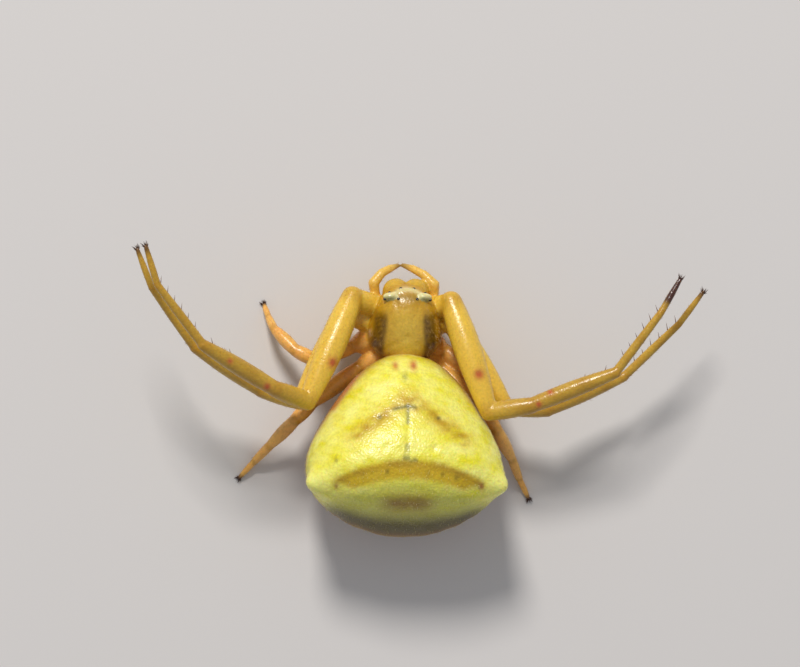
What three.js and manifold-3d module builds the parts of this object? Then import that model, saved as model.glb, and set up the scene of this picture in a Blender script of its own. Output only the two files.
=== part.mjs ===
// A female crab spider at life size, standing with her two front pairs of legs held open.
// Millimetres, +Z up. Her head faces -Y and her left side is +X. The origin is on the floor,
// under the middle of her box. All places below are taken from the waist, straight above y = 0.
import * as THREE from "three";
import { mergeVertices } from "three/addons/utils/BufferGeometryUtils.js";
import Module from "manifold-3d";

const wasm = await Module();
wasm.setup();

// Driving dimensions
const GAP = 0.05; // between neighbouring pieces
const ABDOMEN = { length: 6.17, halfWidth: 3.4, axisHeight: 2.15 };
const ABDOMEN_HUMP = { at: [2.92, 4.35, 3.75], lean: [0.8, 0.12, 0.45], height: 0.42, spread: 0.5 };
const CARAPACE = { front: -2.32, length: 2.72, halfWidth: 1.36, rim: 1.42, crown: 1.24 };
const STERNUM = { middle: [0, -0.85, 1.34], halfWidth: 1.0, halfLength: 1.15, depth: 0.5 };
const PEDICEL = { from: [0, -0.2, 1.2], to: [0, 1.1, 1.35], radius: 0.2 };
const SPINNERETS = { middle: [0, 5.5, 1.12], base: 0.42, length: 0.42, radius: 0.13, spread: 0.2 };
const MOUTHPARTS = { middle: [0, -2.02, 1.02], size: [0.36, 0.3, 0.3] };
const CHELICERA = { top: [0.32, -2.07, 1.55], tip: [0.27, -2.18, 0.95], radius: 0.46 };
const FANG = { length: 0.3, radius: 0.055, root: [0.16, -2.36, 0.74] };
const CLAW = { length: 0.2, radius: 0.032, spread: 0.045 };
const SPINE = { length: 0.34, radius: 0.04, sink: 0.06, sides: 5, lean: 0.8 };
const TUFT = { radius: 0.13, middleHeight: 0.075 }; // the pad of hair under the claws, above the floor
const EYE_SOCKET_GAP = 0.015;
const EYE_LIFT = 0.35; // share of an eye's radius by which its middle stands proud

// Eyes of the left side; x is mirrored for the right
const EYES = {
  front_middle: { x: 0.22, y: -2.14, radius: 0.06 },
  rear_middle: { x: 0.31, y: -1.8, radius: 0.055 },
  front_side: { x: 0.6, y: -2.0, z: 2.36, radius: 0.065 },
  rear_side: { x: 0.76, y: -1.79, radius: 0.065 },
};
const EYE_TUBERCLE = { x: 0.55, y: -1.87, z: 2.42, size: [0.28, 0.15, 0.2] };

// Each pair's piece lengths and thickest radii, from hip to tip
const PAIRS = {
  1: { lengths: [3.95, 1.45, 3.0, 2.5, 1.3], radii: [0.43, 0.32, 0.29, 0.155, 0.12], spines: 6 },
  2: { lengths: [3.6, 1.36, 2.85, 2.56, 1.32], radii: [0.38, 0.29, 0.26, 0.15, 0.115], spines: 6 },
  3: { lengths: [1.5, 0.62, 1.1, 0.65, 0.55], radii: [0.27, 0.25, 0.23, 0.15, 0.11], spines: 0 },
  4: { lengths: [2.05, 0.75, 1.4, 0.85, 0.78], radii: [0.27, 0.25, 0.23, 0.16, 0.11], spines: 0 },
};

// The pose: where each coxa starts and its hip joint is, then azimuth and elevation of the
// femur, patella, tibia, metatarsus and tarsus. A tarsus with no elevation reaches the floor.
const LEGS = {
  left_1: {
    root: [0.8, -1.45, 1.3],
    hip: [1.82, -1.84, 2.05],
    turns: [[67, 15], [-20.5, 34], [-30, 20.5], [-51.5, 10], [-72, 5]],
  },
  left_2: {
    root: [0.85, -0.98, 1.15],
    hip: [1.99, -1.34, 1.3],
    turns: [[63.1, 19], [-16.1, 0], [-31.2, 22], [-53.1, 17], [-68.2, 2]],
  },
  left_3: {
    root: [0.8, -0.6, 1.08],
    hip: [1.72, -0.17, 1.0],
    turns: [[16.9, 16], [-25.7, -8], [-45.1, -24], [-67, -50], [-71.4]],
  },
  left_4: {
    root: [0.65, -0.02, 1.08],
    hip: [1.5, 0.53, 1.0],
    turns: [[38, 9], [46, 8], [48, -30], [49, -33], [49]],
  },
  right_1: {
    root: [-0.8, -1.4, 1.3],
    hip: [-1.5, -1.74, 2.05],
    turns: [[108.9, 12], [-169.5, 13], [-157.4, 7], [-125.9, 3], [-119.7, -5]],
  },
  right_2: {
    root: [-0.85, -0.93, 1.15],
    hip: [-1.53, -1.2, 1.3],
    turns: [[122.7, 11.3], [178.3, 7], [-156, -4], [-134.5, 10], [-125.4, 6]],
  },
  right_3: {
    root: [-0.7, -0.46, 1.08],
    hip: [-1.4, -0.13, 1.0],
    turns: [[140, 0], [-100, -10], [-62, -20], [-65, -35], [-56]],
  },
  right_4: {
    root: [-0.6, 0.0, 1.08],
    hip: [-1.3, 0.48, 1.0],
    turns: [[135, 10], [126, 5], [121.5, -30], [115, -34], [117]],
  },
};
const COXA_RADIUS = { 1: 0.38, 2: 0.44, 3: 0.41, 4: 0.34 };

// The palps' joints, from under the head's side round to the front of the jaws
const PALPS = {
  left: [[1.0, -1.95, 1.3], [1.07, -2.33, 1.46], [0.8, -2.67, 1.36], [0.5, -2.83, 1.15], [0.22, -2.94, 0.98]],
  right: [[-0.98, -1.95, 1.3], [-0.97, -2.31, 1.46], [-0.64, -2.63, 1.36], [-0.28, -2.83, 1.15], [0.05, -2.95, 0.98]],
};
const PALP_RADII = [0.17, 0.185, 0.155, 0.135, 0.08];

// Colours
const skin = (color, roughness = 0.5) => new THREE.MeshStandardMaterial({ color, roughness, metalness: 0 });
const FINISH = {
  abdomen: skin(0xe8e070),
  carapace: skin(0xb8922c),
  underside: skin(0xc9a24a),
  leg: skin(0xc99a30),
  claw: skin(0x2a1a14, 0.35),
  eye: skin(0x0c0a0a, 0.1),
};

// Joining and cutting
function solidOf(geometry, grow = 0) {
  const plain = new THREE.BufferGeometry();
  plain.setAttribute("position", geometry.getAttribute("position"));
  plain.setIndex(geometry.index);
  const merged = mergeVertices(plain, 1e-5);
  const corners = merged.index.array;
  const kept = [];
  for (let i = 0; i < corners.length; i += 3) {
    const [a, b, c] = corners.slice(i, i + 3);
    if (a !== b && b !== c && c !== a) kept.push(a, b, c);
  }
  merged.setIndex(kept);
  if (grow) {
    merged.computeVertexNormals();
    const place = merged.getAttribute("position");
    const normal = merged.getAttribute("normal");
    for (let i = 0; i < place.count; i += 1) {
      place.setXYZ(
        i,
        place.getX(i) + grow * normal.getX(i),
        place.getY(i) + grow * normal.getY(i),
        place.getZ(i) + grow * normal.getZ(i),
      );
    }
  }
  return new wasm.Manifold(
    new wasm.Mesh({
      numProp: 3,
      vertProperties: merged.getAttribute("position").array,
      triVerts: new Uint32Array(kept),
    }),
  );
}

const joined = (solids) => solids.reduce((whole, next) => whole.add(next));
const largest = (solid) =>
  solid.decompose().reduce((best, next) => (next.volume() > best.volume() ? next : best));
const vector = (place) => new THREE.Vector3(...place);

// Keeps what lies on the side of a plane that `towards` points to, half a gap away from it
function cutAt(solid, place, towards) {
  const normal = towards.clone().normalize();
  return solid.trimByPlane(normal.toArray(), normal.dot(place) + GAP / 2);
}

function meshOf(name, solid, material) {
  const whole = largest(solid).getMesh();
  const geometry = new THREE.BufferGeometry();
  geometry.setAttribute("position", new THREE.BufferAttribute(whole.vertProperties, 3));
  geometry.setIndex(new THREE.BufferAttribute(whole.triVerts, 1));
  geometry.computeVertexNormals();
  const mesh = new THREE.Mesh(geometry, material);
  mesh.name = name;
  return mesh;
}

// A round form turned about its length, from joint a to joint b, with a dome at each end.
// radiusAt gives the radius at a share of the length, bow lifts the middle.
function limb(a, b, radiusAt, { sides = 10, steps = 6, bow = 0, grow = 0 } = {}) {
  const along = b.clone().sub(a);
  const length = along.length();
  const profile = [];
  const domeSteps = 2;
  for (let i = 0; i < domeSteps; i += 1) {
    const angle = (i / domeSteps) * (Math.PI / 2);
    profile.push(new THREE.Vector2(radiusAt(0) * Math.sin(angle), -radiusAt(0) * Math.cos(angle)));
  }
  for (let i = 0; i <= steps; i += 1) {
    profile.push(new THREE.Vector2(radiusAt(i / steps), (length * i) / steps));
  }
  for (let i = domeSteps - 1; i >= 0; i -= 1) {
    const angle = (i / domeSteps) * (Math.PI / 2);
    profile.push(new THREE.Vector2(radiusAt(1) * Math.sin(angle), length + radiusAt(1) * Math.cos(angle)));
  }
  const geometry = new THREE.LatheGeometry(profile, sides);
  const place = geometry.getAttribute("position");
  for (let i = 0; i < place.count; i += 1) {
    const share = THREE.MathUtils.clamp(place.getY(i) / length, 0, 1);
    place.setZ(i, place.getZ(i) + bow * Math.sin(Math.PI * share));
  }
  const direction = along.normalize();
  const side = direction.clone().cross(new THREE.Vector3(0, 0, 1)).normalize();
  const lift = side.clone().cross(direction);
  const frame = new THREE.Matrix4().makeBasis(side, direction, lift).setPosition(a);
  geometry.applyMatrix4(frame);
  return solidOf(geometry, grow);
}

// Radius of a leg piece: narrow at both joints and fullest at the share `peak`
const swell = (radius, start, end, peak = 0.45) => (share) => {
  const nearest = share < peak ? start : end;
  const reach = share < peak ? share / peak : (1 - share) / (1 - peak);
  return radius * (nearest + (1 - nearest) * Math.sin((reach * Math.PI) / 2));
};

const cone = (radius) => (share) => radius * (1 - 0.85 * share);
const smoothstep = THREE.MathUtils.smoothstep;

// A ball stretched between two poles on the Y axis and pushed out by `shape`, which gives
// the place of the point at a share of the length and an angle round it
function shapedBall(around, along, shape, grow = 0) {
  const geometry = new THREE.SphereGeometry(1, around, along);
  const place = geometry.getAttribute("position");
  for (let i = 0; i < place.count; i += 1) {
    const share = (1 + place.getY(i)) / 2;
    const angle = Math.atan2(place.getZ(i), place.getX(i));
    place.setXYZ(i, ...shape(THREE.MathUtils.clamp(share, 0, 1), angle));
  }
  return solidOf(geometry, grow);
}

const rounding = (share) => 2 * Math.sqrt(Math.max(share * (1 - share), 0));
const squareRound = (value, power) => Math.sign(value) * Math.abs(value) ** (2 / power);

// Abdomen: low and narrow at the waist, broad and high at the two shoulder humps
function abdomenShape(share, angle) {
  const width = ABDOMEN.halfWidth * rounding(share) * (0.73 + 0.35 * smoothstep(share, 0.08, 0.85));
  const above = 1.7 + 0.95 * smoothstep(share, 0.05, 0.68) - 0.9 * smoothstep(share, 0.75, 1);
  const height = rounding(share) * (Math.sin(angle) > 0 ? above : 1.78);
  const power = Math.sin(angle) > 0 ? 2 + 1.3 * Math.exp(-(((share - 0.68) / 0.2) ** 2)) : 2.1;
  const point = new THREE.Vector3(
    width * squareRound(Math.cos(angle), power),
    ABDOMEN.length * share,
    ABDOMEN.axisHeight + height * squareRound(Math.sin(angle), power),
  );
  for (const side of [1, -1]) {
    const hump = vector(ABDOMEN_HUMP.at);
    hump.x *= side;
    const push = vector(ABDOMEN_HUMP.lean).normalize();
    push.x *= side;
    const near = Math.exp(-((point.distanceTo(hump) / ABDOMEN_HUMP.spread) ** 2));
    point.addScaledVector(push, ABDOMEN_HUMP.height * near);
  }
  return point.toArray();
}
const abdomenSolid = (grow) => shapedBall(36, 26, abdomenShape, grow);

// Carapace: a steep face, a flat crown and a slope down to the waist, over a level rim
function carapaceShape(share, angle) {
  const face = 1 - smoothstep(share, 0, 0.15);
  const width = rounding(share) * (1.15 + 0.2 * smoothstep(share, 0.35, 0.75) + 0.25 * face);
  const blunt = (1 - Math.abs(2 * share - 1) ** 3) ** (1 / 3);
  const height = CARAPACE.crown * blunt * (1.1 - 0.3 * smoothstep(share, 0.35, 0.95));
  const power = 2.5;
  return [
    (CARAPACE.halfWidth / 1.35) * width * squareRound(Math.cos(angle), power),
    CARAPACE.front + CARAPACE.length * share,
    CARAPACE.rim + height * squareRound(Math.sin(angle), power),
  ];
}

function ellipsoid(middle, size, around = 14, along = 10, grow = 0) {
  const geometry = new THREE.SphereGeometry(1, around, along);
  geometry.scale(...size);
  geometry.translate(...middle);
  return solidOf(geometry, grow);
}

function carapaceSolid(grow) {
  const dome = shapedBall(28, 22, carapaceShape, grow);
  const tubercles = [1, -1].map((side) =>
    ellipsoid([side * EYE_TUBERCLE.x, EYE_TUBERCLE.y, EYE_TUBERCLE.z], EYE_TUBERCLE.size, 10, 6, grow),
  );
  return joined([dome, ...tubercles]).trimByPlane([0, 0, 1], CARAPACE.rim - grow);
}

function sternumSolid(grow) {
  const { middle, halfWidth, halfLength, depth } = STERNUM;
  const bowl = ellipsoid(middle, [halfWidth, halfLength, depth], 18, 10, grow);
  return bowl.trimByPlane([0, 0, -1], -middle[2] - grow);
}

// The skin of the carapace, found by dropping a thin post on it
function skinHeight(solid, x, y) {
  const half = 0.02;
  const post = new THREE.BoxGeometry(half, half, 10).translate(x, y, 0);
  return solid.intersect(solidOf(post)).boundingBox().max[2];
}

const body = new THREE.Group();
const abdomenGrown = abdomenSolid(GAP);
const carapaceGrown = carapaceSolid(GAP);
const sternumGrown = sternumSolid(GAP);
const clearOfBody = (solid) => solid.subtract(carapaceGrown).subtract(sternumGrown).subtract(abdomenGrown);

body.add(meshOf("abdomen", abdomenSolid(0), FINISH.abdomen));

// Eyes are small glassy domes in sockets of the carapace
const carapaceWhole = carapaceSolid(0).subtract(abdomenGrown);
const sockets = [];
for (const [row, eye] of Object.entries(EYES)) {
  for (const [sideName, side] of [["left", 1], ["right", -1]]) {
    const top = skinHeight(carapaceWhole, side * eye.x, eye.y);
    const height = eye.z ?? top - eye.radius * (1 - EYE_LIFT);
    const middle = [side * eye.x, eye.y, height];
    const size = [eye.radius, eye.radius, eye.radius];
    sockets.push(ellipsoid(middle, size, 8, 6, EYE_SOCKET_GAP));
    body.add(meshOf(`eye_${row}_${sideName}`, ellipsoid(middle, size, 8, 6), FINISH.eye));
  }
}
body.add(meshOf("carapace", carapaceWhole.subtract(joined(sockets)), FINISH.carapace));
body.add(meshOf("sternum", sternumSolid(0).subtract(abdomenGrown), FINISH.underside));

// The waist, a short stalk between the two halves of the body
const stalk = limb(vector(PEDICEL.from), vector(PEDICEL.to), () => PEDICEL.radius);
body.add(meshOf("pedicel", clearOfBody(stalk), FINISH.underside));

// Spinnerets: a low ring with three pairs of blunt cones, pointing back and down
function spinneretsSolid() {
  const { middle, base, length, radius, spread } = SPINNERETS;
  const ring = ellipsoid(middle, [base, base * 0.7, base * 0.75], 12, 6);
  const cones = [];
  for (const side of [1, -1]) {
    for (const [shift, long] of [[-0.1, 0.8], [0.08, 0.65], [0.24, 1]]) {
      const root = vector([middle[0] + side * spread, middle[1] + shift, middle[2] - 0.15]);
      const tip = root.clone().add(vector([side * 0.04, 0.6, -0.55]).setLength(length * long));
      cones.push(limb(root, tip, (share) => radius * (1 - 0.55 * share), { sides: 6, steps: 1 }));
    }
  }
  return joined([ring, ...cones]);
}
body.add(meshOf("spinnerets", spinneretsSolid().subtract(abdomenGrown), FINISH.underside));

// Jaws: two upright lobes under the face, each with a small fang folded inwards
const jawGrown = [];
for (const [sideName, side] of [["left", 1], ["right", -1]]) {
  const top = vector([side * CHELICERA.top[0], CHELICERA.top[1], CHELICERA.top[2]]);
  const tip = vector([side * CHELICERA.tip[0], CHELICERA.tip[1], CHELICERA.tip[2]]);
  const middlePlane = new THREE.Vector3(0, 0, 0);
  const outwards = new THREE.Vector3(side, 0, 0);
  const profile = (share) => CHELICERA.radius * (1 - 0.35 * share);
  const lobe = cutAt(limb(top, tip, profile, { sides: 12, steps: 3 }), middlePlane, outwards);
  jawGrown.push(limb(top, tip, profile, { sides: 12, steps: 3, grow: GAP }));
  const root = vector([side * FANG.root[0], FANG.root[1], FANG.root[2]]);
  const point = root.clone().add(vector([-side * 0.35, 0.1, -0.55]).setLength(FANG.length));
  const fang = limb(root, point, cone(FANG.radius), { sides: 6, steps: 2 });
  const fangRoom = limb(root, point, cone(FANG.radius), { sides: 6, steps: 2, grow: EYE_SOCKET_GAP });
  body.add(meshOf(`chelicera_${sideName}`, clearOfBody(lobe).subtract(fangRoom), FINISH.carapace));
  body.add(meshOf(`fang_${sideName}`, cutAt(fang, middlePlane, outwards), FINISH.claw));
}
const jaws = joined(jawGrown);
const lip = ellipsoid(MOUTHPARTS.middle, MOUTHPARTS.size, 12, 8);
body.add(meshOf("mouthparts", clearOfBody(lip).subtract(jaws), FINISH.underside));

// Palps: the two short feelers that curve round the front of the jaws
const mouthRoom = ellipsoid(MOUTHPARTS.middle, MOUTHPARTS.size, 14, 10, GAP);
for (const [sideName, joints] of Object.entries(PALPS)) {
  const places = joints.map(vector);
  const pieces = places.slice(1).map((end, i) => {
    const taper = (share) => PALP_RADII[i] + (PALP_RADII[i + 1] - PALP_RADII[i]) * share;
    return limb(places[i], end, taper, { sides: 8, steps: 1 });
  });
  const knee = places[2];
  const onwards = places[3].clone().sub(places[1]);
  const inner = cutAt(joined(pieces.slice(0, 2)), knee, onwards.clone().negate());
  const outer = cutAt(joined(pieces.slice(2)), knee, onwards);
  const clear = (solid) => clearOfBody(solid).subtract(jaws).subtract(mouthRoom);
  body.add(meshOf(`palp_${sideName}_inner`, clear(inner), FINISH.leg));
  body.add(meshOf(`palp_${sideName}_outer`, clear(outer), FINISH.leg));
}

// A leg's joints in space, from the coxa's root to the tip of the tarsus
function jointsOf(leg, pair) {
  const joints = [vector(leg.root), vector(leg.hip)];
  leg.turns.forEach(([azimuth, elevation], i) => {
    const from = joints[joints.length - 1];
    const length = PAIRS[pair].lengths[i];
    const turn = THREE.MathUtils.degToRad(azimuth);
    const rise = elevation === undefined
      ? Math.asin((TUFT.middleHeight - from.z) / length)
      : THREE.MathUtils.degToRad(elevation);
    const step = new THREE.Vector3(
      Math.cos(rise) * Math.cos(turn),
      Math.cos(rise) * Math.sin(turn),
      Math.sin(rise),
    );
    joints.push(from.clone().addScaledVector(step, length));
  });
  return joints;
}

// A tapering spine or claw of few sides, its root sunk in the leg
function thorn(root, direction, length, radius, sides = SPINE.sides) {
  const geometry = new THREE.ConeGeometry(radius, length, sides).translate(0, length / 2, 0);
  const turn = new THREE.Quaternion().setFromUnitVectors(new THREE.Vector3(0, 1, 0), direction);
  geometry.applyQuaternion(turn).translate(...root.toArray());
  return solidOf(geometry);
}

// Two rows of spines under a tibia or metatarsus, leaning towards its tip
function spineRows(from, to, radius, count, first, last) {
  const along = to.clone().sub(from).normalize();
  const side = along.clone().cross(new THREE.Vector3(0, 0, 1)).normalize();
  const thorns = [];
  for (let i = 0; i < count; i += 1) {
    const share = first + ((last - first) * i) / Math.max(count - 1, 1);
    for (const row of [1, -1]) {
      const out = new THREE.Vector3(0, 0, -0.45).addScaledVector(forwards(along, side), row > 0 ? 1 : 0.15);
      const direction = out.normalize().addScaledVector(along, SPINE.lean).normalize();
      const root = from.clone().lerp(to, share).addScaledVector(direction, radius - SPINE.sink);
      thorns.push(thorn(root, direction, SPINE.length + SPINE.sink, SPINE.radius));
    }
  }
  return thorns;
}

// The side of a leg that faces the head
const forwards = (along, side) => side.clone().multiplyScalar(side.y > 0 ? -1 : 1);

function clawPair(tip, along) {
  const side = along.clone().cross(new THREE.Vector3(0, 0, 1)).normalize();
  return [1, -1].map((hand) => {
    const root = tip.clone().addScaledVector(side, hand * CLAW.spread);
    const direction = along.clone().addScaledVector(side, hand * 0.35);
    direction.z -= 0.25;
    return thorn(root, direction.normalize(), CLAW.length, CLAW.radius);
  });
}

// Legs: coxa, femur, tibia with its patella, and foot with its claws, cut apart at the joints
const coxaeSoFar = [];
for (const [legName, leg] of Object.entries(LEGS)) {
  const pair = Number(legName.slice(-1));
  const { radii, spines } = PAIRS[pair];
  const joints = jointsOf(leg, pair);
  const directions = joints.slice(1).map((end, i) => end.clone().sub(joints[i]).normalize());
  const bisector = (i) => directions[i - 1].clone().add(directions[i]);
  const legGroup = new THREE.Group();
  const stands = leg.turns[4].length === 1;

  const hipRadius = radii[0] * 0.72;
  const coxaProfile = (share) => COXA_RADIUS[pair] + (hipRadius - COXA_RADIUS[pair]) * share ** 4;
  const coxa = limb(joints[0], joints[1], coxaProfile, { steps: 4 });
  const room = coxaeSoFar.reduce((solid, other) => solid.subtract(other), clearOfBody(coxa));
  coxaeSoFar.push(limb(joints[0], joints[1], coxaProfile, { steps: 4, grow: GAP }));
  const coxaCut = cutAt(room, joints[1], bisector(1).negate());
  legGroup.add(meshOf(`leg_${legName}_coxa`, coxaCut, FINISH.underside));

  const femur = limb(joints[1], joints[2], swell(radii[0], 0.78, 0.62, 0.4), { steps: 6, bow: 0.12 });
  const femurCut = cutAt(cutAt(femur, joints[1], bisector(1)), joints[2], bisector(2).negate());
  legGroup.add(meshOf(`leg_${legName}_femur`, femurCut, FINISH.leg));

  const patella = limb(joints[2], joints[3], swell(radii[1], 0.9, 0.85), { steps: 3 });
  const tibia = limb(joints[3], joints[4], swell(radii[2], 0.88, 0.66, 0.4), { steps: 4 });
  const tibiaSpines = spines ? spineRows(joints[3], joints[4], radii[2] * 0.85, 2, 0.6, 0.85) : [];
  const tibiaWhole = joined([patella, tibia, ...tibiaSpines]);
  const tibiaCut = cutAt(cutAt(tibiaWhole, joints[2], bisector(2)), joints[4], bisector(4).negate());
  legGroup.add(meshOf(`leg_${legName}_tibia`, tibiaCut, FINISH.leg));

  const metatarsus = limb(joints[4], joints[5], swell(radii[3], 1, 0.8, 0.3), { steps: 3 });
  const tarsus = limb(joints[5], joints[6], swell(radii[4], 1, 0.8, 0.3), { steps: 2 });
  const footSpines = spines ? spineRows(joints[4], joints[5], radii[3], spines, 0.2, 0.95) : [];
  const tuftSize = [TUFT.radius, TUFT.radius, TUFT.radius];
  const tip = [ellipsoid(joints[6].toArray(), tuftSize, 8, 6), ...clawPair(joints[6], directions[5])];
  const footWhole = cutAt(joined([metatarsus, tarsus, ...footSpines, ...tip]), joints[4], bisector(4));
  const foot = stands ? footWhole.trimByPlane([0, 0, 1], 0) : footWhole;
  legGroup.add(meshOf(`leg_${legName}_foot`, foot, FINISH.leg));
  body.add(legGroup);
}

// The origin goes to the floor under the middle of the whole box
const box = new THREE.Box3().setFromObject(body);
const middle = box.getCenter(new THREE.Vector3());
body.position.set(-middle.x, -middle.y, -box.min.z);

const spider = new THREE.Group();
spider.name = "crab_spider";
spider.add(body);

export default spider;
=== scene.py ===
# A female crab spider as a life-size museum model: lemon-yellow abdomen, amber body and legs,
# standing on her hind feet with the two long front pairs of legs held open.
# Lengths are millimetres and places are measured from the floor under her waist, until
# `metres` turns them into the frame's metres.
from math import ceil, cos, pi, radians, sin

import bpy
import numpy as np
from mathutils import Matrix, Vector
from mathutils.kdtree import KDTree


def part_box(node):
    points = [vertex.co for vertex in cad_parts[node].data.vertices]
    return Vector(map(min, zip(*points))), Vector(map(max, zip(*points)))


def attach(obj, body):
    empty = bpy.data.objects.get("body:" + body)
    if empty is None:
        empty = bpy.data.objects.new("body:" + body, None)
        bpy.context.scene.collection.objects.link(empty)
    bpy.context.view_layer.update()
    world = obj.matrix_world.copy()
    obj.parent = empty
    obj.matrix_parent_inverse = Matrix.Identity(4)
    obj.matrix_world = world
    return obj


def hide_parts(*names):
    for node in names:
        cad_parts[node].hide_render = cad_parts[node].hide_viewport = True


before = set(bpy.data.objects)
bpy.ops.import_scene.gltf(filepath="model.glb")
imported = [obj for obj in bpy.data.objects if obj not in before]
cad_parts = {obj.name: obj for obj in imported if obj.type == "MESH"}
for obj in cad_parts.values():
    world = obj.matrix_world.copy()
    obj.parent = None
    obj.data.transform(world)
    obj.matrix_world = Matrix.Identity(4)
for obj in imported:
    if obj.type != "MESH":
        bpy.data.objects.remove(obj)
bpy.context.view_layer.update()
MM = 0.001
abdomen_low, abdomen_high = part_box("abdomen")
WAIST = np.array([(abdomen_low[0] + abdomen_high[0]) / 2, abdomen_low[1], 0.0])


def metres(places):
    return np.asarray(places, dtype=float) * MM + WAIST


# Camera
# The photograph looks straight down on her back, leaning a little towards her left side.
LENS_PIXELS_PER_MM = 30.0
PICTURE_WIDTH_PIXELS = 800
VIEW_DISTANCE = 140.0
SENSOR_MM = 36.0
LOOKED_AT = Vector((0.233, -0.65, 2.5))
LEAN = radians(4.6)
ROLL = radians(1.1)
NEAREST_METRES = 0.005
FARTHEST_METRES = 5.0

out_of_picture = Vector((sin(LEAN), 0, cos(LEAN)))
level_right = Vector((-cos(LEAN), 0, sin(LEAN)))
head_up = Vector((0, -1, 0))
picture_right = level_right * cos(ROLL) + head_up * sin(ROLL)
picture_up = head_up * cos(ROLL) - level_right * sin(ROLL)
camera_data = bpy.data.cameras.new("camera")
camera_data.sensor_width = SENSOR_MM
camera_data.lens = VIEW_DISTANCE * LENS_PIXELS_PER_MM * SENSOR_MM / PICTURE_WIDTH_PIXELS
camera_data.clip_start = NEAREST_METRES
camera_data.clip_end = FARTHEST_METRES
camera = bpy.data.objects.new("camera", camera_data)
bpy.context.scene.collection.objects.link(camera)
turn = Matrix((picture_right, picture_up, out_of_picture)).transposed().to_4x4()
camera_place = metres(LOOKED_AT + out_of_picture * VIEW_DISTANCE)
camera.matrix_world = Matrix.Translation(camera_place) @ turn
bpy.context.scene.camera = camera


# Lights and floor
# Sun from the head side and a little from her left in the photograph, here as a soft studio
# lamp, with pale light all round and a plain pale floor. The distances are metres.
SUN_FROM = Vector((0.27, -1.0, 1.0)).normalized()
SUN_DISTANCE = 0.30
SUN_SIZE = 0.07
SUN_WATTS = 0.68
SUN_COLOUR = (1.0, 0.96, 0.9)
SKY_COLOUR = (0.95, 0.97, 1.0, 1.0)
SKY_STRENGTH = 0.36
FLOOR_HALF = 0.6
FLOOR_COLOUR = (0.72, 0.70, 0.70, 1)
FLOOR_ROUGHNESS = 0.9


def set_inputs(node, values):
    """Links each input that is given a socket, and sets the others."""
    for key, value in values.items():
        if isinstance(value, bpy.types.NodeSocket):
            node.id_data.links.new(value, node.inputs[key])
        else:
            node.inputs[key].default_value = value


def add_node(tree, kind, values=None, **settings):
    node = tree.nodes.new(kind)
    for name, value in settings.items():
        setattr(node, name, value)
    set_inputs(node, values or {})
    return node


def math_node(tree, operation, *values):
    return add_node(tree, "ShaderNodeMath", dict(enumerate(values)), operation=operation).outputs[0]


def new_material(name):
    material = bpy.data.materials.new(name)
    material.use_nodes = True
    tree = material.node_tree
    return material, tree, tree.nodes["Principled BSDF"]


bpy.context.scene.view_settings.view_transform = "Standard"
target = Vector(metres(LOOKED_AT))
lamp_data = bpy.data.lights.new("sun_lamp", "AREA")
lamp_data.shape = "DISK"
lamp_data.size = SUN_SIZE
lamp_data.energy = SUN_WATTS
lamp_data.color = SUN_COLOUR
lamp = bpy.data.objects.new("sun_lamp", lamp_data)
lamp.location = target + SUN_FROM * SUN_DISTANCE
lamp.rotation_euler = SUN_FROM.to_track_quat("Z", "Y").to_euler()
bpy.context.scene.collection.objects.link(lamp)

world = bpy.data.worlds.new("studio")
bpy.context.scene.world = world
world.use_nodes = True
set_inputs(world.node_tree.nodes["Background"], {"Color": SKY_COLOUR, "Strength": SKY_STRENGTH})

floor_mesh = bpy.data.meshes.new("floor")
corners = [(x * FLOOR_HALF, y * FLOOR_HALF, 0) for x, y in ((-1, -1), (1, -1), (1, 1), (-1, 1))]
floor_mesh.from_pydata(corners, [], [(0, 1, 2, 3)])
floor_sheet = bpy.data.objects.new("floor", floor_mesh)
bpy.context.scene.collection.objects.link(floor_sheet)
floor_material, _, floor_shader = new_material("pale_floor")
set_inputs(floor_shader, {"Base Color": FLOOR_COLOUR, "Roughness": FLOOR_ROUGHNESS})
floor_mesh.materials.append(floor_material)


# Skin
# A spider's outside is one tough, waxy cuticle that lets some light through. It is built here
# from closed forms that are later joined. Their points carry the colour, the way the hairs
# lie and the place on a flat unwrap, where every form has a square tile of its own.
UNWRAP_TILES = 8
TILE_FILL = 0.94
TILE_MARGIN = 0.02
NEAREST_POINTS = 3
CARRY_SOFTNESS = 0.3
forms_made = 0


def linear(red, green, blue):
    share = np.array([red, green, blue]) / 255
    return np.where(share <= 0.04045, share / 12.92, ((share + 0.055) / 1.055) ** 2.4)


def mix(first, second, share):
    share = np.clip(np.asarray(share, dtype=float), 0, 1)[..., None]
    return np.asarray(first) * (1 - share) + np.asarray(second) * share


def smooth(value, low, high):
    share = np.clip((np.asarray(value, dtype=float) - low) / (high - low), 0, 1)
    return share * share * (3 - 2 * share)


def bell(distance, width):
    return np.exp(-((np.asarray(distance, dtype=float) / width) ** 2))


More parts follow.
